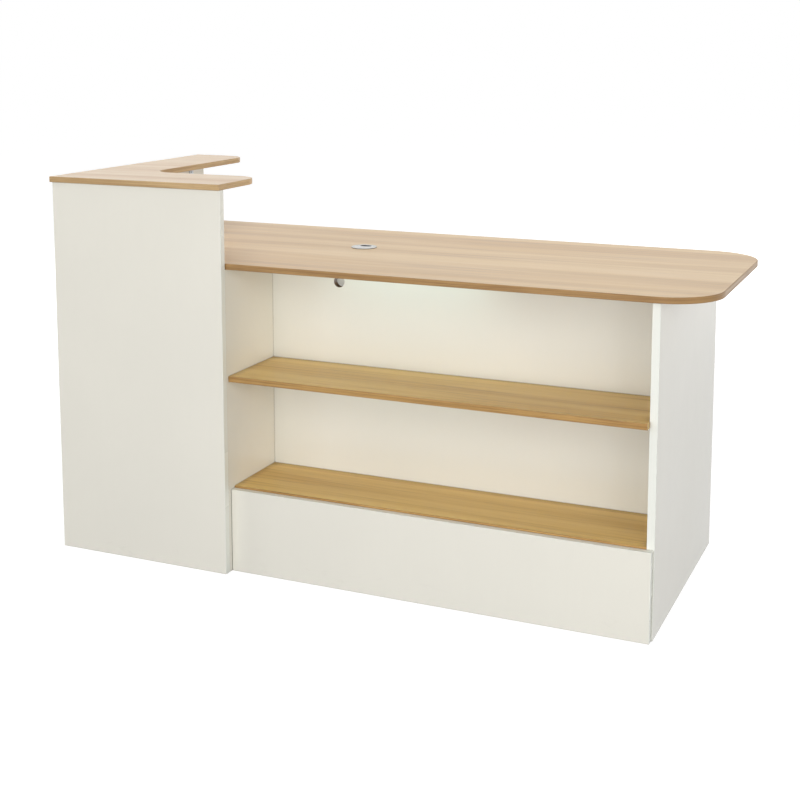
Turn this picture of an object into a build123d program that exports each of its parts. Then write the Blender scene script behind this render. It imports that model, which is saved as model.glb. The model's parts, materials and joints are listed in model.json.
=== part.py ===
from build123d import *

import os

# Retail checkout counter: a tall L-shaped tower on the left, with a raised wood top
# that screens the till, and a lower cash desk on the right with open shelves facing
# the customer and knee room facing the cashier.
# Millimetres. +X runs along the counter, +Y from the customer to the cashier, +Z up.
# The origin is on the floor, under the middle of the whole counter.

# ---------------------------------------------------------------- driving dimensions
LENGTH = 1716
DEPTH = 722
HEIGHT = 1000
DESK_HEIGHT = 800
PANEL = 18              # white carcass panels
BOARD = 15              # wood-faced tops and shelves
OVERHANG = 5            # tops beyond the carcass
WOOD_BAND = 2           # thick edging on tops and shelves
WHITE_BAND = 1          # thin edging on the white panels
WOOD_BAND_RADIUS = 1.5  # rounding of the edging's long edges
WHITE_BAND_RADIUS = 0.5

TOWER_WIDTH = 504       # tall front panel
BODY_LENGTH = 1590      # left face of the tower to right face of the desk
RAISED_ARM_DEPTH = 210  # raised top, arm along the front
RAISED_LEG_WIDTH = 175  # raised top, leg along the left side
RAISED_RADIUS = 60
DESK_CORNER_RADIUS = 130

DESK_SETBACK = 20       # set back from the customer face of the tower
SHELF_SETBACK = 26
KICK_SETBACK = 30
DIVIDER_SETBACK = 261
SHELF_TOP = 512
BOTTOM_SHELF_TOP = 220
KICK_HEIGHT = 215
KICK_GAP = 1            # between the kick panel and the partition
KICK_INSET = 3          # kick panel short of the right side panel's outer face

CABLE_HOLE_RADIUS = 14.5
CABLE_HOLE_FROM_PARTITION = 197
CABLE_HOLE_HEIGHT = 729

GROMMET_FROM_LEFT = 707
GROMMET_FROM_FRONT = 401
GROMMET_HOLE_RADIUS = 30
GROMMET_FLANGE_RADIUS = 34
GROMMET_FLANGE_HEIGHT = 2.5
GROMMET_WALL = 3
GROMMET_FLANGE_ROUNDING = 1.5
GROMMET_LEDGE = 2
GROMMET_LEDGE_HEIGHT = 4
GROMMET_LEDGE_DROP = 1  # top of the ledge below the top of the desk
SLEEVE_BELOW = 4        # sleeve beyond the underside of the desk top
SKIRT_DEPTH = 8
SKIRT_WALL = 1.5
CAP_CHAMFER = 0.5
RUNNING_CLEARANCE = 0.05
CAP_SLOT_LENGTH = 31
CAP_SLOT_WIDTH = 20
CAP_SLOT_OFFSET = 11.5

BRACKET_LEG = 40
BRACKET_WIDTH = 20
BRACKET_THICKNESS = 2
SCREW_RADIUS = 1.75
SCREW_DEPTH = 12        # into the wood
SCREW_HEAD_RADIUS = 3.5
SCREW_HEAD_HEIGHT = 2
SCREW_SPOTS = (14, 31)  # along each bracket leg
RECESS_WIDTH = 0.9      # cross recess in a screw head
RECESS_DEPTH = 0.5

CAM_RADIUS = 7.5
CAM_DEPTH = 12
CAM_DISTANCE = 34       # joint face to cam centre
CAM_BORE_RADIUS = 4
BOLT_RADIUS = 2.5
BOLT_HEAD_RADIUS = 3.5
BOLT_HEAD_LENGTH = 3
BOLT_DEPTH = 11         # into the panel it pulls on
DRIVER_WIDTH = 1.5      # driver slot across a cam
DRIVER_DEPTH = 1.5

DOWEL_RADIUS = 4
DOWEL_DEEP = 20         # in the edge of a panel
DOWEL_SHALLOW = 10      # in the face of a panel or top

# Where the fasteners sit, each list measured from the plane that its function names.
RAISED_DOWELS_X = (120, 390)
RAISED_DOWELS_Y = (180, 560)
RAISED_BRACKETS_X = (200, 440)
RAISED_BRACKETS_Y = (300, 640)
DESK_DOWELS_Y = (120, 600)
DESK_BRACKET_FROM_END = 300
DESK_BRACKET_IN_TOWER_X = 250
DESK_BRACKET_IN_TOWER_Y = 420
DESK_BRACKET_AT_RIGHT_Y = 480
TOWER_CAMS_Z = (90, 400, 700)
DIVIDER_CAMS_Z = (110, 600)
SHELF_CAM_FROM_FRONT = 50
SHELF_CAM_FROM_DIVIDER = 45
SHELF_DOWEL_FROM_END = 350
KICK_DOWELS_Z = (60, 160)
KICK_BRACKET_FROM_END = 270
KICK_BRACKET_Z = 100

# ------------------------------------------------------------------- derived planes
LEFT = -LENGTH / 2 + OVERHANG
RIGHT = LENGTH / 2
FRONT = -DEPTH / 2 + OVERHANG
BACK = DEPTH / 2 - OVERHANG
PANEL_BACK = FRONT + PANEL              # cashier face of the tall front panel
TOWER_RIGHT = LEFT + TOWER_WIDTH        # also the shelf side of the partition
LEFT_INSIDE = LEFT + PANEL
PARTITION_LEFT = TOWER_RIGHT - PANEL
BODY_RIGHT = LEFT + BODY_LENGTH
RIGHT_INSIDE = BODY_RIGHT - PANEL
DESK_FRONT = FRONT + DESK_SETBACK
SHELF_FRONT = FRONT + SHELF_SETBACK
KICK_FRONT = FRONT + KICK_SETBACK
KICK_BACK = KICK_FRONT + PANEL          # also the front of the right side panel
DIVIDER_FRONT = FRONT + DIVIDER_SETBACK
DIVIDER_BACK = DIVIDER_FRONT + PANEL
RAISED_UNDER = HEIGHT - BOARD
DESK_UNDER = DESK_HEIGHT - BOARD
KICK_LEFT = TOWER_RIGHT + KICK_GAP
KICK_RIGHT = BODY_RIGHT - KICK_INSET
GROMMET = Vector(LEFT + GROMMET_FROM_LEFT, FRONT + GROMMET_FROM_FRONT, 0)
BORE_RADIUS = GROMMET_HOLE_RADIUS - GROMMET_WALL
LEDGE_RADIUS = BORE_RADIUS - GROMMET_LEDGE
LEDGE_TOP = DESK_HEIGHT - GROMMET_LEDGE_DROP
FLANGE_TOP = DESK_HEIGHT + GROMMET_FLANGE_HEIGHT

X = Vector(1, 0, 0)
Y = Vector(0, 1, 0)
Z = Vector(0, 0, 1)

cuts = {}               # node name -> solids to cut from that panel or board
HARDWARE_NODES = ("corner_brackets", "bracket_screws", "cam_locks", "cam_bolts", "dowels")
hardware = {name: [] for name in HARDWARE_NODES}


# ---------------------------------------------------------------------- basic shapes
def block(x0, x1, y0, y1, z0, z1):
    """Box between two corners."""
    size = Box(x1 - x0, y1 - y0, z1 - z0)
    return Pos((x0 + x1) / 2, (y0 + y1) / 2, (z0 + z1) / 2) * size


def rod(start, direction, length, radius):
    """Cylinder that starts at a point and runs along a direction."""
    base = Cylinder(radius, length, align=(Align.CENTER, Align.CENTER, Align.MIN))
    return Plane(origin=start, z_dir=direction) * base


def rounded(solid, side, radius):
    """Round the edges of a strip's outer face, which is its last face along side."""
    face = solid.faces().sort_by(lambda each: each.center().dot(side))[-1]
    return fillet(face.edges(), radius)


def ring(outer, inner, bottom, top):
    """Upright tube around the grommet's axis."""
    start = GROMMET + Z * bottom
    return rod(start, Z, top - bottom, outer) - rod(start, Z, top - bottom, inner)


def cut(node, *solids):
    """Remember what has to be cut from a panel or board."""
    cuts.setdefault(node, []).extend(solids)


# ------------------------------------------------------------------------- fasteners
def bracket(corner, leg_a, leg_b, node_a, node_b):
    """Steel angle in an inside corner: leg_a lies on node_a, leg_b on node_b."""
    frame = Plane(origin=corner, x_dir=leg_a, z_dir=leg_a.cross(leg_b))
    from_corner = (Align.MIN, Align.MIN, Align.CENTER)
    plate_a = Box(BRACKET_LEG, BRACKET_THICKNESS, BRACKET_WIDTH, align=from_corner)
    plate_b = Box(BRACKET_THICKNESS, BRACKET_LEG, BRACKET_WIDTH, align=from_corner)
    angle = frame * (plate_a + plate_b)
    for along, normal, node in ((leg_a, leg_b, node_a), (leg_b, leg_a, node_b)):
        for spot in SCREW_SPOTS:
            seat = corner + along * spot + normal * BRACKET_THICKNESS
            shank = rod(seat, -normal, SCREW_DEPTH + BRACKET_THICKNESS, SCREW_RADIUS)
            angle -= shank
            cut(node, shank)
            hardware["bracket_screws"].append(shank + screw_head(seat, normal, along))
    hardware["corner_brackets"].append(angle)


def screw_head(seat, normal, along):
    """Pan head with a cross recess, standing on the bracket."""
    head = rod(seat, normal, SCREW_HEAD_HEIGHT, SCREW_HEAD_RADIUS)
    circles = head.edges().filter_by(GeomType.CIRCLE)
    rim = circles.sort_by(lambda edge: edge.center().dot(normal))[-1]
    head = fillet(rim, SCREW_HEAD_HEIGHT / 2)
    recess = Box(SCREW_HEAD_RADIUS, RECESS_WIDTH, 2 * RECESS_DEPTH)
    top = Plane(origin=seat + normal * SCREW_HEAD_HEIGHT, x_dir=along, z_dir=normal)
    return head - top * (recess + Rot(0, 0, 90) * recess)


def cam_joint(point, inward, opening, board_node, panel_node):
    """Cam lock in a board, with its bolt pulling on the panel that the board butts against.

    point is on the butt joint, in the middle of the board's thickness; inward runs into
    the board; opening points out of the board face that the cam is pressed into.
    """
    thickness = BOARD if board_node.endswith("board") else PANEL
    centre = point + inward * CAM_DISTANCE
    mouth = centre + opening * (thickness / 2)
    pocket = rod(mouth, -opening, CAM_DEPTH, CAM_RADIUS)
    bore = rod(point, inward, CAM_DISTANCE + BOLT_HEAD_LENGTH, CAM_BORE_RADIUS)
    driver = Box(CAM_RADIUS, DRIVER_WIDTH, 2 * DRIVER_DEPTH)
    driver = Plane(origin=mouth, x_dir=inward, z_dir=opening) * driver
    shank_length = BOLT_DEPTH + CAM_DISTANCE - BOLT_HEAD_LENGTH
    shank = rod(point - inward * BOLT_DEPTH, inward, shank_length, BOLT_RADIUS)
    head = rod(centre - inward * BOLT_HEAD_LENGTH, inward, BOLT_HEAD_LENGTH, BOLT_HEAD_RADIUS)
    cut(board_node, pocket, bore)
    cut(panel_node, rod(point - inward * BOLT_DEPTH, inward, BOLT_DEPTH, BOLT_RADIUS))
    hardware["cam_locks"].append(pocket - bore - driver)
    hardware["cam_bolts"].append(shank + head)


def dowel(point, direction, edge_node, face_node):
    """Wooden dowel: direction runs from the panel edge into the face it meets."""
    peg = rod(point - direction * DOWEL_DEEP, direction, DOWEL_DEEP + DOWEL_SHALLOW, DOWEL_RADIUS)
    cut(edge_node, peg)
    cut(face_node, peg)
    hardware["dowels"].append(peg)


def fasten_raised_top():
    """Dowels and angles under the raised top, measured from the tower's left and front."""
    for x in RAISED_DOWELS_X:
        point = Vector(LEFT + x, FRONT + PANEL / 2, RAISED_UNDER)
        dowel(point, Z, "tall_front_panel", "raised_top_board")
    for y in RAISED_DOWELS_Y:
        point = Vector(LEFT + PANEL / 2, FRONT + y, RAISED_UNDER)
        dowel(point, Z, "left_side_panel", "raised_top_board")
    for x in RAISED_BRACKETS_X:
        corner = Vector(LEFT + x, PANEL_BACK, RAISED_UNDER)
        bracket(corner, -Z, Y, "tall_front_panel", "raised_top_board")
    for y in RAISED_BRACKETS_Y:
        corner = Vector(LEFT_INSIDE, FRONT + y, RAISED_UNDER)
        bracket(corner, -Z, X, "left_side_panel", "raised_top_board")


def fasten_desktop():
    """Dowels and angles under the desk top, measured from the tower's left and front."""
    for y in DESK_DOWELS_Y:
        over_partition = Vector(TOWER_RIGHT - PANEL / 2, FRONT + y, DESK_UNDER)
        over_right_side = Vector(BODY_RIGHT - PANEL / 2, FRONT + y, DESK_UNDER)
        dowel(over_partition, Z, "partition_panel", "desktop_board")
        dowel(over_right_side, Z, "right_side_panel", "desktop_board")
    for x in (TOWER_RIGHT + DESK_BRACKET_FROM_END, RIGHT_INSIDE - DESK_BRACKET_FROM_END):
        bracket(Vector(x, DIVIDER_BACK, DESK_UNDER), -Z, Y, "divider_panel", "desktop_board")
    for node, x, y, side in (
        ("tall_front_panel", LEFT + DESK_BRACKET_IN_TOWER_X, PANEL_BACK, Y),
        ("left_side_panel", LEFT_INSIDE, FRONT + DESK_BRACKET_IN_TOWER_Y, X),
        ("partition_panel", PARTITION_LEFT, FRONT + DESK_BRACKET_IN_TOWER_Y, -X),
        ("right_side_panel", RIGHT_INSIDE, FRONT + DESK_BRACKET_AT_RIGHT_Y, -X),
    ):
        bracket(Vector(x, y, DESK_UNDER), -Z, side, node, "desktop_board")


def fasten_carcass():
    """Cams that pull the upright panels together."""
    for z in TOWER_CAMS_Z:
        left = Vector(LEFT + PANEL / 2, PANEL_BACK, z)
        middle = Vector(TOWER_RIGHT - PANEL / 2, PANEL_BACK, z)
        cam_joint(left, Y, X, "left_side_panel", "tall_front_panel")
        cam_joint(middle, Y, -X, "partition_panel", "tall_front_panel")
    divider_middle = DIVIDER_FRONT + PANEL / 2
    for z in DIVIDER_CAMS_Z:
        cam_joint(Vector(TOWER_RIGHT, divider_middle, z), X, Y, "divider_panel", "partition_panel")
        cam_joint(Vector(RIGHT_INSIDE, divider_middle, z), -X, Y, "divider_panel", "right_side_panel")


def fasten_shelves():
    """Cams at both ends of each shelf, and dowels from the divider into their back edges."""
    for node, top, front in (
        ("middle_shelf_board", SHELF_TOP, SHELF_FRONT),
        ("bottom_shelf_board", BOTTOM_SHELF_TOP, KICK_BACK),
    ):
        middle = top - BOARD / 2
        for y in (front + SHELF_CAM_FROM_FRONT, DIVIDER_FRONT - SHELF_CAM_FROM_DIVIDER):
            cam_joint(Vector(TOWER_RIGHT, y, middle), X, -Z, node, "partition_panel")
            cam_joint(Vector(RIGHT_INSIDE, y, middle), -X, -Z, node, "right_side_panel")
        for x in (TOWER_RIGHT + SHELF_DOWEL_FROM_END, RIGHT_INSIDE - SHELF_DOWEL_FROM_END):
            dowel(Vector(x, DIVIDER_FRONT, middle), Y, node, "divider_panel")


def fasten_kick():
    """The kick panel: dowelled to the right side panel, angled to the shelf and the partition."""
    for z in KICK_DOWELS_Z:
        dowel(Vector(BODY_RIGHT - PANEL / 2, KICK_BACK, z), -Y, "right_side_panel", "kick_panel")
    shelf_under = BOTTOM_SHELF_TOP - BOARD
    for x in (TOWER_RIGHT + KICK_BRACKET_FROM_END, RIGHT_INSIDE - KICK_BRACKET_FROM_END):
        bracket(Vector(x, KICK_BACK, shelf_under), -Z, Y, "kick_panel", "bottom_shelf_board")
    corner = Vector(TOWER_RIGHT, KICK_BACK, KICK_BRACKET_Z)
    bracket(corner, X, Y, "kick_panel", "partition_panel")


# ---------------------------------------------------------------------- panel blanks
def tall_front_panel():
    return block(LEFT + WHITE_BAND, TOWER_RIGHT - WHITE_BAND, FRONT, PANEL_BACK, 0, RAISED_UNDER)


def tall_front_edge_bands():
    left = block(LEFT, LEFT + WHITE_BAND, FRONT, PANEL_BACK, 0, RAISED_UNDER)
    right = block(TOWER_RIGHT - WHITE_BAND, TOWER_RIGHT, FRONT, PANEL_BACK, 0, RAISED_UNDER)
    return [rounded(left, -X, WHITE_BAND_RADIUS), rounded(right, X, WHITE_BAND_RADIUS)]


def upright(x0, front, top):
    """Side panel or partition, without the thin band on its cashier edge."""
    return block(x0, x0 + PANEL, front, BACK - WHITE_BAND, 0, top)


def back_edge_band(x0, top):
    return rounded(block(x0, x0 + PANEL, BACK - WHITE_BAND, BACK, 0, top), Y, WHITE_BAND_RADIUS)


def right_side_panel():
    return upright(RIGHT_INSIDE, KICK_BACK + WHITE_BAND, DESK_UNDER)


def right_side_edge_bands():
    front = block(RIGHT_INSIDE, BODY_RIGHT, KICK_BACK, KICK_BACK + WHITE_BAND, 0, DESK_UNDER)
    return [rounded(front, -Y, WHITE_BAND_RADIUS), back_edge_band(RIGHT_INSIDE, DESK_UNDER)]


def divider_panel():
    panel = block(TOWER_RIGHT, RIGHT_INSIDE, DIVIDER_FRONT, DIVIDER_BACK, 0, DESK_UNDER)
    hole_start = Vector(TOWER_RIGHT + CABLE_HOLE_FROM_PARTITION, DIVIDER_FRONT, CABLE_HOLE_HEIGHT)
    return panel - rod(hole_start, Y, PANEL, CABLE_HOLE_RADIUS)


def kick_panel():
    top = KICK_HEIGHT - WHITE_BAND
    return block(KICK_LEFT + WHITE_BAND, KICK_RIGHT - WHITE_BAND, KICK_FRONT, KICK_BACK, 0, top)


def kick_edge_bands():
    side_top = KICK_HEIGHT - WHITE_BAND
    left = block(KICK_LEFT, KICK_LEFT + WHITE_BAND, KICK_FRONT, KICK_BACK, 0, side_top)
    right = block(KICK_RIGHT - WHITE_BAND, KICK_RIGHT, KICK_FRONT, KICK_BACK, 0, side_top)
    top = block(KICK_LEFT, KICK_RIGHT, KICK_FRONT, KICK_BACK, side_top, KICK_HEIGHT)
    strips = ((left, -X), (right, X), (top, Z))
    return [rounded(strip, side, WHITE_BAND_RADIUS) for strip, side in strips]


# --------------------------------------------------------------------- wood-faced boards
def raised_outline(inset):
    """L-shaped outline: an arm along the front and a leg along the left side."""
    x0 = LEFT - OVERHANG + inset
    x1 = x0 + RAISED_LEG_WIDTH - 2 * inset
    x2 = TOWER_RIGHT - inset
    y0 = FRONT - OVERHANG + inset
    y1 = y0 + RAISED_ARM_DEPTH - 2 * inset
    y2 = BACK + OVERHANG - inset
    corners = ((x0, y0), (x2, y0), (x2, y1), (x1, y1), (x1, y2), (x0, y2))
    face = make_face(Polyline(*corners, close=True))
    ends = [face.vertices().sort_by_distance(corner)[0] for corner in ((x2, y1), (x1, y2))]
    face = fillet(ends, RAISED_RADIUS - inset)
    notch = face.vertices().sort_by_distance((x1, y1))[0]
    return fillet(notch, RAISED_RADIUS + inset)


def desktop_outline(inset):
    """Rectangle with two large rounded corners at the free end, and none at the tower."""
    y0 = DESK_FRONT + inset
    y1 = BACK + OVERHANG - inset
    x1 = RIGHT - inset
    corners = ((LEFT_INSIDE, y0), (x1, y0), (x1, y1), (LEFT_INSIDE, y1))
    face = make_face(Polyline(*corners, close=True))
    free_end = [face.vertices().sort_by_distance(corner)[0] for corner in ((x1, y0), (x1, y1))]
    return fillet(free_end, DESK_CORNER_RADIUS - inset)


def slab(outline, under):
    return Pos(0, 0, under) * extrude(outline, BOARD)


def edging(outline, core, under):
    """Band around a board: the whole outline with its long edges rounded, less the core."""
    whole = slab(outline, under)
    flat = whole.faces().filter_by(Axis.Z)
    return fillet(flat.edges(), WOOD_BAND_RADIUS) - slab(core, under)


def raised_top_board():
    return slab(raised_outline(WOOD_BAND), RAISED_UNDER)


def raised_top_edge_band():
    return edging(raised_outline(0), raised_outline(WOOD_BAND), RAISED_UNDER)


def desktop_board():
    board = slab(desktop_outline(WOOD_BAND), DESK_UNDER)
    return board - rod(GROMMET + Z * DESK_UNDER, Z, BOARD, GROMMET_HOLE_RADIUS)


def desktop_edge_band():
    return edging(desktop_outline(0), desktop_outline(WOOD_BAND), DESK_UNDER)


def shelf(front, top):
    """Shelf board between the partition and the right side panel, behind its front band."""
    return block(TOWER_RIGHT, RIGHT_INSIDE, front + WOOD_BAND, DIVIDER_FRONT, top - BOARD, top)


def shelf_band(front, top):
    strip = block(TOWER_RIGHT, RIGHT_INSIDE, front, front + WOOD_BAND, top - BOARD, top)
    face = strip.faces().sort_by(Axis.Y)[0]
    return fillet(face.edges().filter_by(Axis.X), WOOD_BAND_RADIUS)


# --------------------------------------------------------------------- cable grommet
def grommet_sleeve():
    tube = ring(GROMMET_HOLE_RADIUS, BORE_RADIUS, DESK_UNDER - SLEEVE_BELOW, FLANGE_TOP)
    flange = ring(GROMMET_FLANGE_RADIUS, BORE_RADIUS, DESK_HEIGHT, FLANGE_TOP)
    top_circles = flange.edges().filter_by(GeomType.CIRCLE).group_by(Axis.Z)[-1]
    flange_rim = top_circles.sort_by(SortBy.LENGTH)[-1]
    ledge = ring(BORE_RADIUS, LEDGE_RADIUS, LEDGE_TOP - GROMMET_LEDGE_HEIGHT, LEDGE_TOP)
    return tube + fillet(flange_rim, GROMMET_FLANGE_ROUNDING) + ledge


def cap_slot():
    """Oval cable slot between the middle of the cap and its rim."""
    profile = SlotOverall(CAP_SLOT_LENGTH, CAP_SLOT_WIDTH)
    base = LEDGE_TOP - SKIRT_DEPTH
    return Pos(GROMMET.X, GROMMET.Y + CAP_SLOT_OFFSET, base) * extrude(profile, FLANGE_TOP - base)


def grommet_cap():
    disc_radius = BORE_RADIUS - RUNNING_CLEARANCE
    skirt_radius = LEDGE_RADIUS - RUNNING_CLEARANCE
    disc = rod(GROMMET + Z * LEDGE_TOP, Z, FLANGE_TOP - LEDGE_TOP, disc_radius)
    disc = chamfer(disc.edges().group_by(Axis.Z)[-1], CAP_CHAMFER)
    skirt = ring(skirt_radius, skirt_radius - SKIRT_WALL, LEDGE_TOP - SKIRT_DEPTH, LEDGE_TOP)
    return disc + skirt - cap_slot()


# --------------------------------------------------------------------------- assembly
def build_panels():
    return {
        "tall_front_panel": tall_front_panel(),
        "left_side_panel": upright(LEFT, PANEL_BACK, RAISED_UNDER),
        "partition_panel": upright(PARTITION_LEFT, PANEL_BACK, DESK_UNDER),
        "right_side_panel": right_side_panel(),
        "divider_panel": divider_panel(),
        "kick_panel": kick_panel(),
        "raised_top_board": raised_top_board(),
        "desktop_board": desktop_board(),
        "middle_shelf_board": shelf(SHELF_FRONT, SHELF_TOP),
        "bottom_shelf_board": shelf(KICK_BACK, BOTTOM_SHELF_TOP),
    }


def build_trim():
    return {
        "tall_front_edge_bands": tall_front_edge_bands(),
        "left_side_edge_band": back_edge_band(LEFT, RAISED_UNDER),
        "partition_edge_band": back_edge_band(PARTITION_LEFT, DESK_UNDER),
        "right_side_edge_bands": right_side_edge_bands(),
        "kick_edge_bands": kick_edge_bands(),
        "raised_top_edge_band": raised_top_edge_band(),
        "desktop_edge_band": desktop_edge_band(),
        "middle_shelf_edge_band": shelf_band(SHELF_FRONT, SHELF_TOP),
        "bottom_shelf_edge_band": shelf_band(KICK_BACK, BOTTOM_SHELF_TOP),
        "grommet_sleeve": grommet_sleeve(),
        "grommet_cap": grommet_cap(),
    }


def machine(name, blank):
    """Cut the fastener holes from a blank, which may be a list of separate solids."""
    pieces = blank if isinstance(blank, list) else [blank]
    if name in cuts:
        pieces = [piece - cuts[name] for piece in pieces]
    return Compound([solid for piece in pieces for solid in piece.solids()])


fasten_raised_top()
fasten_desktop()
fasten_carcass()
fasten_shelves()
fasten_kick()
# The front band of the right side panel is pierced by the kick panel's dowels.
cuts["right_side_edge_bands"] = cuts["right_side_panel"]

parts = {**build_panels(), **build_trim(), **hardware}
os.makedirs("parts", exist_ok=True)
for name, shape in parts.items():
    export_step(machine(name, shape), f"parts/{name}.step")
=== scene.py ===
import json
import math

import bpy
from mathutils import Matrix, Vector


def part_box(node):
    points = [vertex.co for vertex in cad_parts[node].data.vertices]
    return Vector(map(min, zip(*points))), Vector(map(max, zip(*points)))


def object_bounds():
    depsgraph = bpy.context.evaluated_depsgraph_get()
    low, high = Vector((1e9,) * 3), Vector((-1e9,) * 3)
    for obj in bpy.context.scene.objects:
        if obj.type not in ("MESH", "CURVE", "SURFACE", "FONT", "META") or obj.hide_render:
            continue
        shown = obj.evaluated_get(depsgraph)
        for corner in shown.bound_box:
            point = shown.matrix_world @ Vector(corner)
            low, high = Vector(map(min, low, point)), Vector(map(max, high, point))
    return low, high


# Looks, lights and camera for a retail checkout counter. Every visible piece is a CAD node
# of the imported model; this script gives each one its procedural material.
# Metres, in the model's own frame: +X along the counter, +Y towards the cashier, +Z up.
# Object texture coordinates are therefore real positions, so noise scales are per metre.

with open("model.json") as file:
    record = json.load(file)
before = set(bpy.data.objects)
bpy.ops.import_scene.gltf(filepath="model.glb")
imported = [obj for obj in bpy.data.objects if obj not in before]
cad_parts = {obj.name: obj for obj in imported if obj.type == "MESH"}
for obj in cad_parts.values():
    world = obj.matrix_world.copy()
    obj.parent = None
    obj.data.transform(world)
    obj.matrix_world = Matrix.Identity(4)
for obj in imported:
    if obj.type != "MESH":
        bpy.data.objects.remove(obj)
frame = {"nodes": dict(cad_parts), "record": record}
CAD_BOX = [list(corner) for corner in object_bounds()]

# ------------------------------------------------------------------------ camera values
CAMERA_YAW = math.radians(23.58)        # turned to the left of straight ahead
CAMERA_PITCH = math.radians(-7.70)
CAMERA_FROM_LEFT = 2.2462               # from the counter's lowest corner
CAMERA_FROM_FRONT = -2.8682
CAMERA_HEIGHT = 1.3624
SENSOR_WIDTH = 36
LENS = 61.39
SHIFT_UP = -0.225

# ----------------------------------------------------------------------- colours (sRGB)
MELAMINE = (229, 226, 215)
SHADED_MELAMINE = (223, 222, 213)       # the divider: the same melamine painted darker and cooler as shade, since only the open front lights it
# edging: its own cooler white, made lighter than the panels' as a painted highlight on the edge
# strips
MELAMINE_EDGING = (233, 234, 226)
JOINT_SHADE = (120, 108, 86)
SCUFF = (196, 191, 180)
CHIPBOARD = ((60, 42, 26), (120, 92, 62))                       # dark and light chips
TAN_EDGING = ((202, 172, 128), (164, 132, 90), (124, 92, 60))   # light, dark and streak
BROWN_EDGING = ((172, 136, 88), (140, 106, 68), (100, 72, 48))
SHELF_EDGING = ((188, 150, 92), (154, 116, 68), (112, 78, 46))
WOOD_JOINT_SHADE = (92, 66, 38)
BEECH = ((214, 178, 138), (188, 148, 106))                      # light and dark grain
BEECH_FLECK = (150, 108, 72)
ZINC_STEEL = (205, 208, 212)
CAM_ZINC = (158, 158, 156)
SILVER = ((204, 204, 202), (226, 226, 224))                     # between and on the flakes
SILVER_CLOUD = (196, 197, 198)
SILVER_JOINT_SHADE = (70, 70, 68)
# black as painted shade in the grommet's slot and at the foot of its flange
GROMMET_SHADE_BLACK = (12, 12, 12)
FLOOR_WHITE = (250, 250, 250)

# ------------------------------------------------------------------- sizes on the object
SCUFF_HEIGHT = 0.09             # scuffs fade out at this height above the floor
HOLE_EDGE = (0.0003, 0.0008)    # the chipboard fades out between these, past the hole's wall
FLANGE_SILVER = 0.0013          # the flange is silver this far down from its top, black below as painted shade
CAP_SILVER = 0.0003
SILVER_FADE = 0.0002

# ------------------------------------------- floor and shelf lighting (colours are linear)
FLOOR_REACH = 60
FLOOR_DROP = 0.0005             # keeps the floor clear of the panels' lower edges
FLOOR_BOUNCE = 0.22             # share of its white that the floor shows by reflected light
FLOOR_NEAR = 1.6                # the floor glows a little less than white up to here,
FLOOR_FAR = 4.5                 # and is pure white from here on
FLOOR_NEAR_GLOW = (0.88, 0.88, 0.88, 1)
FLOOR_FAR_GLOW = (1, 1, 1, 1)
# glow under the counter, lowered as a painted shadow
FLOOR_SHADOW_GLOW = (0.44, 0.44, 0.43, 1)
FLOOR_SHADE_FADE = 0.22         # from the outline of the panels inwards
GLOW_COLOUR = (0.66, 0.96, 1.0)
GLOW_STRIP = (0.42, 0.012)
GLOW_FROM_PARTITION = 0.40
GLOW_FROM_DIVIDER = 0.09
GLOW_BELOW_BOARD = 0.006
GLOW_AIM_DROP = 0.07            # the strip aims at the divider this far below itself


def linear(colour, factor=1.0):
    """Linear RGBA of an sRGB colour given as 0 to 255, scaled by a factor."""
    def channel(value):
        share = value / 255
        return share / 12.92 if share <= 0.04045 else ((share + 0.055) / 1.055) ** 2.4
    return (*(min(1.0, channel(value) * factor) for value in colour), 1.0)


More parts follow.
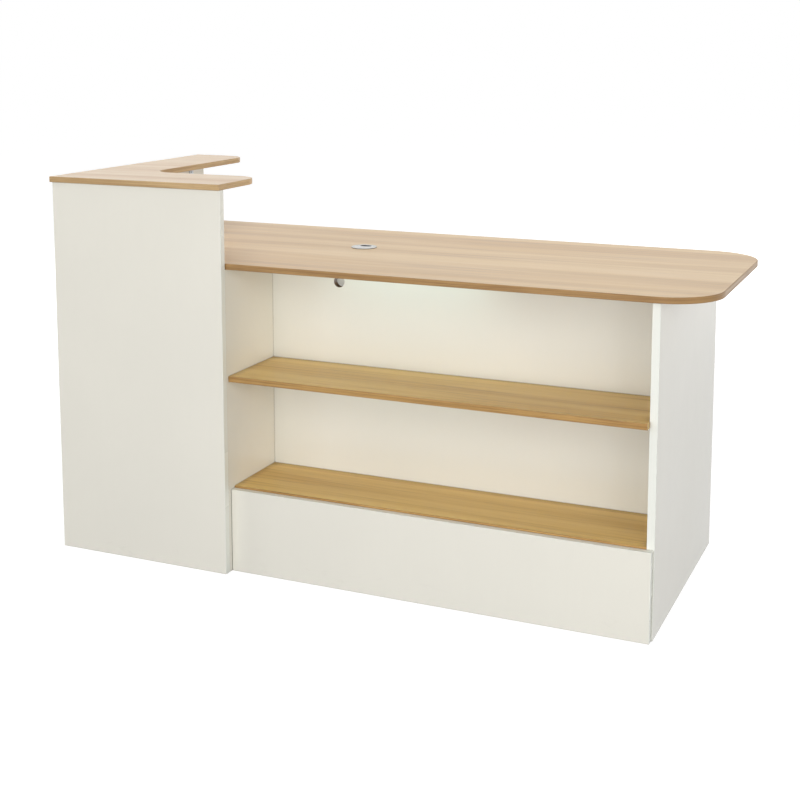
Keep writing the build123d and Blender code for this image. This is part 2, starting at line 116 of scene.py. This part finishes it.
# ------------------------------------------------------------------- material workbench
class Finish:
    """A Principled material whose node tree is built one step at a time."""

    def __init__(self, name, **sockets):
        self.material = bpy.data.materials.new(name)
        self.material.use_nodes = True
        self.tree = self.material.node_tree
        self.tree.nodes.clear()
        self.shader = self.node("ShaderNodeBsdfPrincipled")
        output = self.node("ShaderNodeOutputMaterial")
        self.link(self.shader.outputs["BSDF"], output.inputs["Surface"])
        for socket, value in sockets.items():
            self.shader.inputs[socket.replace("_", " ")].default_value = value
        self.place = self.node("ShaderNodeTexCoord").outputs["Object"]

    def node(self, kind, **settings):
        made = self.tree.nodes.new(kind)
        for name, value in settings.items():
            setattr(made, name, value)
        return made

    def link(self, source, target):
        self.tree.links.new(source, target)

    def fill(self, socket, value):
        """Link a socket's source, or set a plain value on it."""
        if isinstance(value, bpy.types.NodeSocket):
            self.link(value, socket)
        else:
            socket.default_value = value

    def stretched(self, scale, shift=(0, 0, 0)):
        """Position scaled unevenly, so that a noise made from it becomes streaks."""
        mapping = self.node("ShaderNodeMapping")
        mapping.inputs["Scale"].default_value = scale
        mapping.inputs["Location"].default_value = shift
        self.link(self.place, mapping.inputs["Vector"])
        return mapping.outputs["Vector"]

    def noise(self, place, scale=1.0, detail=2.0, roughness=0.5, distortion=0.0):
        made = self.node("ShaderNodeTexNoise")
        self.link(place, made.inputs["Vector"])
        made.inputs["Scale"].default_value = scale
        made.inputs["Detail"].default_value = detail
        made.inputs["Roughness"].default_value = roughness
        made.inputs["Distortion"].default_value = distortion
        return made.outputs["Fac"]

    def spread(self, value, low, high, to_low=0.0, to_high=1.0):
        """Map a range of values to another, clamped and smooth at both ends."""
        made = self.node("ShaderNodeMapRange", interpolation_type="SMOOTHSTEP")
        self.link(value, made.inputs["Value"])
        made.inputs["From Min"].default_value = low
        made.inputs["From Max"].default_value = high
        made.inputs["To Min"].default_value = to_low
        made.inputs["To Max"].default_value = to_high
        return made.outputs["Result"]

    def maths(self, operation, first, second=0.0):
        made = self.node("ShaderNodeMath", operation=operation)
        self.link(first, made.inputs[0])
        self.fill(made.inputs[1], second)
        return made.outputs[0]

    def mix(self, factor, first, second):
        """Blend two colours, each a socket or an RGBA tuple."""
        made = self.node("ShaderNodeMix", data_type="RGBA")
        self.fill(made.inputs["Factor"], factor)
        colours = [socket for socket in made.inputs if socket.type == "RGBA"]
        self.fill(colours[0], first)
        self.fill(colours[1], second)
        return next(socket for socket in made.outputs if socket.type == "RGBA")

    def axes(self):
        """Position split into its X, Y and Z."""
        split = self.node("ShaderNodeSeparateXYZ")
        self.link(self.place, split.inputs[0])
        return split.outputs

    def paint_contact_shade(self, base, dark, reach=0.005, strength=0.55):
        """Painted shade: darken the colour where two pieces meet, within a reach in metres."""
        open_share = self.node("ShaderNodeAmbientOcclusion", samples=8)
        open_share.inputs["Distance"].default_value = reach
        shade_share = self.spread(open_share.outputs["AO"], 0.35, 0.85, strength, 0)
        return self.mix(shade_share, base, dark)

    def bump(self, value, depth, strength, below=None):
        """Relief of a depth in metres, on top of a coarser relief if one is given."""
        made = self.node("ShaderNodeBump")
        made.inputs["Distance"].default_value = depth
        made.inputs["Strength"].default_value = strength
        self.link(value, made.inputs["Height"])
        if below is not None:
            self.link(below, made.inputs["Normal"])
        return made.outputs["Normal"]

    def finish(self, colour, roughness, normal):
        self.link(colour, self.shader.inputs["Base Color"])
        self.link(roughness, self.shader.inputs["Roughness"])
        self.link(normal, self.shader.inputs["Normal"])
        return self.material


# ------------------------------------------------------------------------ white surfaces
def scuff_marks(finish):
    """Share of light scuffs, which are only near the floor."""
    low_down = finish.spread(finish.axes()["Z"], 0.0, SCUFF_HEIGHT, 1, 0)
    stretched = finish.stretched((9, 9, 34), shift=(3, 1, 7))
    marks = finish.noise(stretched, detail=6, roughness=0.7, distortion=0.6)
    return finish.maths("MULTIPLY", low_down, finish.spread(marks, 0.56, 0.72))


def chipboard_in_hole(finish, base, hole):
    """Raw chipboard on the wall of a hole drilled along Y, given as its mount."""
    centre = Vector(hole["pos_m"])
    radius = hole["dims"]["r_mm"] / 1000
    flat = finish.node("ShaderNodeVectorMath", operation="MULTIPLY")
    finish.link(finish.place, flat.inputs[0])
    flat.inputs[1].default_value = (1, 0, 1)
    away = finish.node("ShaderNodeVectorMath", operation="DISTANCE")
    finish.link(flat.outputs[0], away.inputs[0])
    away.inputs[1].default_value = (centre.x, 0, centre.z)
    start, end = HOLE_EDGE
    on_wall = finish.spread(away.outputs["Value"], radius + start, radius + end, 1, 0)
    chips = finish.noise(finish.place, scale=420, detail=5)
    dark, light = CHIPBOARD
    return finish.mix(on_wall, base, finish.mix(chips, linear(dark), linear(light)))


def melamine(name, colour, hole=None):
    """Satin white melamine: faint clouding, orange peel, and light scuffs near the floor."""
    finish = Finish(name, Specular_IOR_Level=0.5)
    clouds = finish.noise(finish.place, scale=2.3, detail=4, roughness=0.55)
    fibres = finish.noise(finish.stretched((55, 55, 9)), detail=5, roughness=0.6)
    cloud_share = finish.spread(clouds, 0.3, 0.7)
    base = finish.mix(cloud_share, linear(colour, 0.985), linear(colour, 1.01))
    base = finish.mix(finish.spread(fibres, 0.35, 0.75, 0, 0.15), base, linear(colour, 0.965))
    base = finish.mix(finish.maths("MULTIPLY", scuff_marks(finish), 0.22), base, linear(SCUFF))
    base = finish.paint_contact_shade(base, linear(JOINT_SHADE))
    if hole is not None:
        base = chipboard_in_hole(finish, base, hole)
    peel = finish.noise(finish.place, scale=620)
    waves = finish.noise(finish.place, scale=24)
    roughness = finish.spread(clouds, 0.25, 0.75, 0.19, 0.27)
    relief = finish.bump(waves, depth=0.0004, strength=0.15)
    relief = finish.bump(peel, depth=0.00005, strength=0.35, below=relief)
    return finish.finish(base, roughness, relief)


def white_edging(name, colour):
    """Thin plastic edging with faint upright lines."""
    finish = Finish(name, Specular_IOR_Level=0.5)
    drawn = finish.noise(finish.stretched((500, 500, 3)), detail=4, roughness=0.6)
    clouds = finish.noise(finish.place, scale=3, detail=3)
    base = finish.mix(finish.spread(drawn, 0.3, 0.7), linear(colour, 0.985), linear(colour, 1.01))
    base = finish.mix(finish.spread(clouds, 0.5, 0.8, 0, 0.3), base, linear(colour, 0.97))
    base = finish.paint_contact_shade(base, linear(JOINT_SHADE))
    roughness = finish.spread(clouds, 0.3, 0.7, 0.22, 0.31)
    return finish.finish(base, roughness, finish.bump(drawn, depth=0.00002, strength=0.2))


# ------------------------------------------------------------------------- wood surfaces
class Timber:
    """The tones of a printed wood laminate, its finish, and the shade in its corners."""

    def __init__(self, pale, middle, dark, seed, roughness, gloss, corner_shade):
        self.pale = pale
        self.middle = middle
        self.dark = dark
        self.seed = seed
        self.roughness = roughness
        self.gloss = gloss
        self.corner_shade = corner_shade        # reach in metres, and strength, of the painted shade in its corners


RAISED_TIMBER = Timber(
    pale=(236, 219, 198), middle=(226, 203, 178), dark=(194, 162, 132),
    seed=2.0, roughness=(0.32, 0.44), gloss=0.03, corner_shade=(0.006, 0.7))
DESK_TIMBER = Timber(
    pale=(224, 196, 154), middle=(207, 174, 130), dark=(168, 131, 90),
    seed=9.0, roughness=(0.30, 0.42), gloss=0.45, corner_shade=(0.006, 0.7))
# the shelves get a broad painted shade near the divider and partition
SHELF_TIMBER = Timber(
    pale=(234, 199, 118), middle=(216, 175, 92), dark=(168, 126, 62),
    seed=17.0, roughness=(0.15, 0.24), gloss=0.15, corner_shade=(0.035, 0.55))


def laminate(name, timber):
    """Oak laminate: long grain along X in broad soft bands, fine streaks and short pores."""
    finish = Finish(name, Specular_IOR_Level=timber.gloss)
    along = (timber.seed, 0, 0)
    across = (0, timber.seed, 0)
    both = (timber.seed, timber.seed, 0)
    drift = finish.noise(finish.stretched((0.9, 3.0, 3.0), along))
    bands = finish.noise(finish.stretched((0.55, 13, 13), across),
                         detail=3, roughness=0.55, distortion=0.5)
    streaks = finish.noise(finish.stretched((2.4, 95, 95), both), detail=6, roughness=0.62)
    fine = finish.noise(finish.stretched((7, 420, 420), across), detail=4, roughness=0.6)
    pores = finish.noise(finish.stretched((26, 900, 900), along))
    base = finish.mix(finish.spread(bands, 0.33, 0.68), linear(timber.pale), linear(timber.middle))
    banded = finish.maths("MULTIPLY", streaks, finish.spread(bands, 0.3, 0.7, 0.8, 1.12))
    veins = finish.spread(banded, 0.48, 0.74)
    base = finish.mix(finish.maths("MULTIPLY", veins, 0.62), base, linear(timber.dark))
    base = finish.mix(finish.spread(fine, 0.5, 0.75, 0, 0.30), base, linear(timber.dark))
    base = finish.mix(finish.spread(drift, 0.35, 0.7, 0, 0.25), base, linear(timber.pale, 1.04))
    base = finish.mix(finish.spread(pores, 0.64, 0.74, 0, 0.35), base, linear(timber.dark, 0.7))
    # painted shade in the corners and along the joints
    reach, strength = timber.corner_shade
    base = finish.paint_contact_shade(base, linear(WOOD_JOINT_SHADE), reach, strength)
    low, high = timber.roughness
    roughness = finish.spread(streaks, 0.3, 0.7, high, low)
    relief = finish.bump(streaks, depth=0.00012, strength=0.3)
    relief = finish.bump(pores, depth=0.00008, strength=0.35, below=relief)
    return finish.finish(base, roughness, relief)


def wood_edging(name, tones):
    """Wood-grain edging: streaks that follow the band, stacked over its height."""
    light, dark, streak = tones
    finish = Finish(name, Specular_IOR_Level=0.28)
    layers = finish.noise(finish.stretched((3.5, 3.5, 240)),
                          detail=4, roughness=0.6, distortion=0.3)
    lines = finish.noise(finish.stretched((11, 11, 900), shift=(4, 2, 0)),
                         detail=4, roughness=0.62)
    patches = finish.noise(finish.place, scale=4.0, detail=3)
    base = finish.mix(finish.spread(layers, 0.32, 0.68), linear(light), linear(dark))
    base = finish.mix(finish.spread(lines, 0.48, 0.72, 0, 0.6), base, linear(streak))
    base = finish.mix(finish.spread(patches, 0.4, 0.7, 0, 0.3), base, linear(light))
    base = finish.paint_contact_shade(base, linear(WOOD_JOINT_SHADE))
    roughness = finish.spread(layers, 0.3, 0.7, 0.30, 0.42)
    return finish.finish(base, roughness, finish.bump(lines, depth=0.0001, strength=0.35))


def beech(name):
    """Plain turned beech with small dark flecks."""
    light, dark = BEECH
    finish = Finish(name)
    grain = finish.noise(finish.place, scale=160, detail=4, roughness=0.6)
    flecks = finish.noise(finish.place, scale=1400)
    base = finish.mix(finish.spread(grain, 0.3, 0.7), linear(light), linear(dark))
    base = finish.mix(finish.spread(flecks, 0.55, 0.75, 0, 0.5), base, linear(BEECH_FLECK))
    roughness = finish.spread(grain, 0.3, 0.7, 0.55, 0.7)
    return finish.finish(base, roughness, finish.bump(grain, depth=0.0001, strength=0.4))


# ------------------------------------------------------------------------ metal, plastic
def zinc(name, colour, metallic, roughness):
    """Zinc-plated metal: soft patches of different sheen, and fine rolling lines."""
    finish = Finish(name, Metallic=metallic)
    patches = finish.noise(finish.place, scale=130, detail=4, roughness=0.6)
    rolled = finish.noise(finish.stretched((900, 260, 900)), detail=3, roughness=0.6)
    base = finish.mix(finish.spread(patches, 0.3, 0.7), linear(colour, 0.82), linear(colour, 1.08))
    base = finish.mix(finish.spread(rolled, 0.5, 0.8, 0, 0.35), base, linear(colour, 0.6))
    low, high = roughness
    sheen = finish.spread(patches, 0.3, 0.7, low, high)
    return finish.finish(base, sheen, finish.bump(rolled, depth=0.00004, strength=0.4))


def silver_plastic(name, silver_from):
    """Moulded plastic of the cable grommet: silver on top, black below a height as painted shade in
    its slot and around its flange.
    """
    between, flake = SILVER
    finish = Finish(name, Metallic=0.15, Specular_IOR_Level=0.5)
    flakes = finish.noise(finish.place, scale=2600)
    clouds = finish.noise(finish.place, scale=60, detail=3)
    base = finish.mix(finish.spread(flakes, 0.35, 0.7), linear(between), linear(flake))
    base = finish.mix(finish.spread(clouds, 0.4, 0.7, 0, 0.4), base, linear(SILVER_CLOUD))
    base = finish.paint_contact_shade(base, linear(SILVER_JOINT_SHADE), reach=0.002)
    # painted shade: black below the silvered top
    below = finish.spread(finish.axes()["Z"], silver_from - SILVER_FADE, silver_from, 1, 0)
    base = finish.mix(below, base, linear(GROMMET_SHADE_BLACK))
    roughness = finish.spread(clouds, 0.3, 0.7, 0.30, 0.42)
    return finish.finish(base, roughness, finish.bump(flakes, depth=0.00003, strength=0.4))


# ------------------------------------------------------------------- finishes onto nodes
def mount(name):
    return next(each for each in frame["record"]["mounts"] if each["name"] == name)


def paint(material, *names):
    for name in names:
        node = frame["nodes"][name]
        node.data.materials.clear()
        node.data.materials.append(material)


def paint_panels():
    paint(melamine("white_panel", MELAMINE),
          "tall_front_panel", "left_side_panel", "partition_panel",
          "right_side_panel", "kick_panel")
    # the divider gets the melamine painted darker and cooler as shade
    paint(melamine("shaded_white_drilled_panel", SHADED_MELAMINE, hole=mount("cable_hole")),
          "divider_panel")
    paint(white_edging("white_edging", MELAMINE_EDGING),
          "tall_front_edge_bands", "left_side_edge_band", "partition_edge_band",
          "right_side_edge_bands", "kick_edge_bands")


def paint_boards():
    paint(laminate("oak_raised_top", RAISED_TIMBER), "raised_top_board")
    paint(laminate("oak_desktop", DESK_TIMBER), "desktop_board")
    paint(laminate("oak_shelves", SHELF_TIMBER), "middle_shelf_board", "bottom_shelf_board")
    paint(wood_edging("tan_edging", TAN_EDGING), "raised_top_edge_band")
    paint(wood_edging("brown_edging", BROWN_EDGING), "desktop_edge_band")
    paint(wood_edging("shelf_edging", SHELF_EDGING),
          "middle_shelf_edge_band", "bottom_shelf_edge_band")


def paint_fittings():
    flange_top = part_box("grommet_sleeve")[1].z
    paint(silver_plastic("silver_sleeve", flange_top - FLANGE_SILVER), "grommet_sleeve")
    paint(silver_plastic("silver_cap", flange_top - CAP_SILVER), "grommet_cap")
    paint(zinc("zinc_steel", ZINC_STEEL, metallic=1.0, roughness=(0.28, 0.44)),
          "corner_brackets", "bracket_screws", "cam_bolts")
    paint(zinc("cam_zinc", CAM_ZINC, metallic=0.9, roughness=(0.42, 0.58)), "cam_locks")
    paint(beech("beech_dowel"), "dowels")


# ------------------------------------------------------------------------ floor and light
def under_counter(finish):
    """Share of painted shade on the floor between the outer panels, fading towards their outline.
    """
    low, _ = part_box("left_side_panel")
    _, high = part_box("right_side_panel")
    position = finish.axes()
    shares = []
    for axis, start, end in zip("XY", low, high):
        from_middle = finish.maths("SUBTRACT", position[axis], (start + end) / 2)
        half = (end - start) / 2
        away = finish.maths("ABSOLUTE", from_middle)
        shares.append(finish.spread(away, half - FLOOR_SHADE_FADE, half, 1, 0))
    return finish.maths("MULTIPLY", *shares)


def floor_finish():
    """White that glows by itself, less near the counter and least under it, where the lower glow is
    a painted shadow.
    """
    finish = Finish("pale_floor", Roughness=0.9, Specular_IOR_Level=0.0,
                    Base_Color=linear(FLOOR_WHITE, FLOOR_BOUNCE), Emission_Strength=1.0)
    away = finish.node("ShaderNodeVectorMath", operation="LENGTH")
    finish.link(finish.place, away.inputs[0])
    far_share = finish.spread(away.outputs["Value"], FLOOR_NEAR, FLOOR_FAR)
    glow = finish.mix(far_share, FLOOR_NEAR_GLOW, FLOOR_FAR_GLOW)
    # painted shadow: lower glow under the counter
    glow = finish.mix(under_counter(finish), glow, FLOOR_SHADOW_GLOW)
    finish.link(glow, finish.shader.inputs["Emission Color"])
    return finish.material


def pale_floor():
    """Wide white floor that shows only a soft shade under the counter."""
    mesh = bpy.data.meshes.new("floor")
    signs = [(-1, -1), (1, -1), (1, 1), (-1, 1)]
    corners = [(x * FLOOR_REACH, y * FLOOR_REACH, 0) for x, y in signs]
    mesh.from_pydata(corners, [], [(0, 1, 2, 3)])
    mesh.materials.append(floor_finish())
    floor = bpy.data.objects.new("floor", mesh)
    floor.location.z = -FLOOR_DROP
    floor.visible_diffuse = False
    bpy.context.scene.collection.objects.link(floor)


def white_surroundings():
    """White all round for the camera and for reflections; the softboxes do the lighting."""
    world = bpy.data.worlds.new("white_surroundings")
    world.use_nodes = True
    background = world.node_tree.nodes["Background"]
    background.inputs["Color"].default_value = (1, 1, 1, 1)
    background.inputs["Strength"].default_value = 1.0
    world.cycles_visibility.diffuse = False
    bpy.context.scene.world = world


def softbox(name, place, target, size, brightness):
    """Area light that lights but isn't mirrored in the glossy boards. Brightness is the share
    of white that it gives a surface facing it at the target."""
    light = bpy.data.lights.new(name, "AREA")
    light.shape = "RECTANGLE"
    light.size, light.size_y = size
    offset = Vector(target) - Vector(place)
    light.energy = brightness * math.pi ** 2 * offset.length_squared
    lamp = bpy.data.objects.new(name, light)
    lamp.location = place
    lamp.rotation_euler = offset.to_track_quat("-Z", "Y").to_euler()
    lamp.visible_camera = False
    lamp.visible_glossy = False
    bpy.context.scene.collection.objects.link(lamp)
    return lamp


def bay_glow(board, power):
    """Cool strip of light of a power in watts under a board, just in front of the divider."""
    low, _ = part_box(board)
    divider_low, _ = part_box("divider_panel")
    place = Vector((divider_low.x + GLOW_FROM_PARTITION,
                    divider_low.y - GLOW_FROM_DIVIDER,
                    low.z - GLOW_BELOW_BOARD))
    aim = place + Vector((0, GLOW_FROM_DIVIDER, -GLOW_AIM_DROP))
    strip = softbox(board + "_glow", place, aim, GLOW_STRIP, brightness=1)
    strip.data.energy = power
    strip.data.color = GLOW_COLOUR


def studio_light():
    """Large softboxes all round, so that every side of the counter is lit."""
    middle = (0, 0, 0.5)
    shelves = (0.5, 0, 0.5)
    right_panel = (0.74, 0, 0.4)
    softbox("front_softbox", (-1.2, -6.0, 2.1), middle, size=(5, 4), brightness=0.30)
    softbox("front_right_softbox", (4.7, -3.8, 1.8), middle, size=(4, 3), brightness=0.38)
    softbox("low_front_softbox", (1.0, -3.8, 0.7), shelves, size=(4, 1.2), brightness=0.44)
    softbox("right_softbox", (3.3, -0.6, 0.75), right_panel, size=(2.2, 1.3), brightness=0.15)
    softbox("left_softbox", (-5.0, -0.5, 1.5), middle, size=(4, 2.4), brightness=0.68)
    softbox("back_softbox", (2.2, 5.6, 2.4), middle, size=(6, 4), brightness=0.62)
    softbox("low_back_softbox", (-1.9, 4.8, 0.8), middle, size=(5, 1.2), brightness=0.66)
    softbox("top_softbox", (-0.6, 0.2, 4.6), middle, size=(5, 4), brightness=0.64)
    bay_glow("desktop_board", power=0.115)
    bay_glow("middle_shelf_board", power=0.03)


# -------------------------------------------------------------------------------- camera
def camera():
    """Camera placed from the counter's lowest corner, turned left and a little down."""
    view = bpy.data.cameras.new("camera")
    view.sensor_width = SENSOR_WIDTH
    view.lens = LENS
    view.shift_y = SHIFT_UP
    forward = Vector((-math.sin(CAMERA_YAW) * math.cos(CAMERA_PITCH),
                      math.cos(CAMERA_YAW) * math.cos(CAMERA_PITCH),
                      math.sin(CAMERA_PITCH)))
    eye = bpy.data.objects.new("camera", view)
    eye.location = Vector(CAD_BOX[0]) + Vector((CAMERA_FROM_LEFT, CAMERA_FROM_FRONT, CAMERA_HEIGHT))
    eye.rotation_euler = forward.to_track_quat("-Z", "Y").to_euler()
    bpy.context.scene.collection.objects.link(eye)
    bpy.context.scene.camera = eye


paint_panels()
paint_boards()
paint_fittings()
pale_floor()
white_surroundings()
studio_light()
camera()
bpy.context.scene.view_settings.view_transform = "Standard"
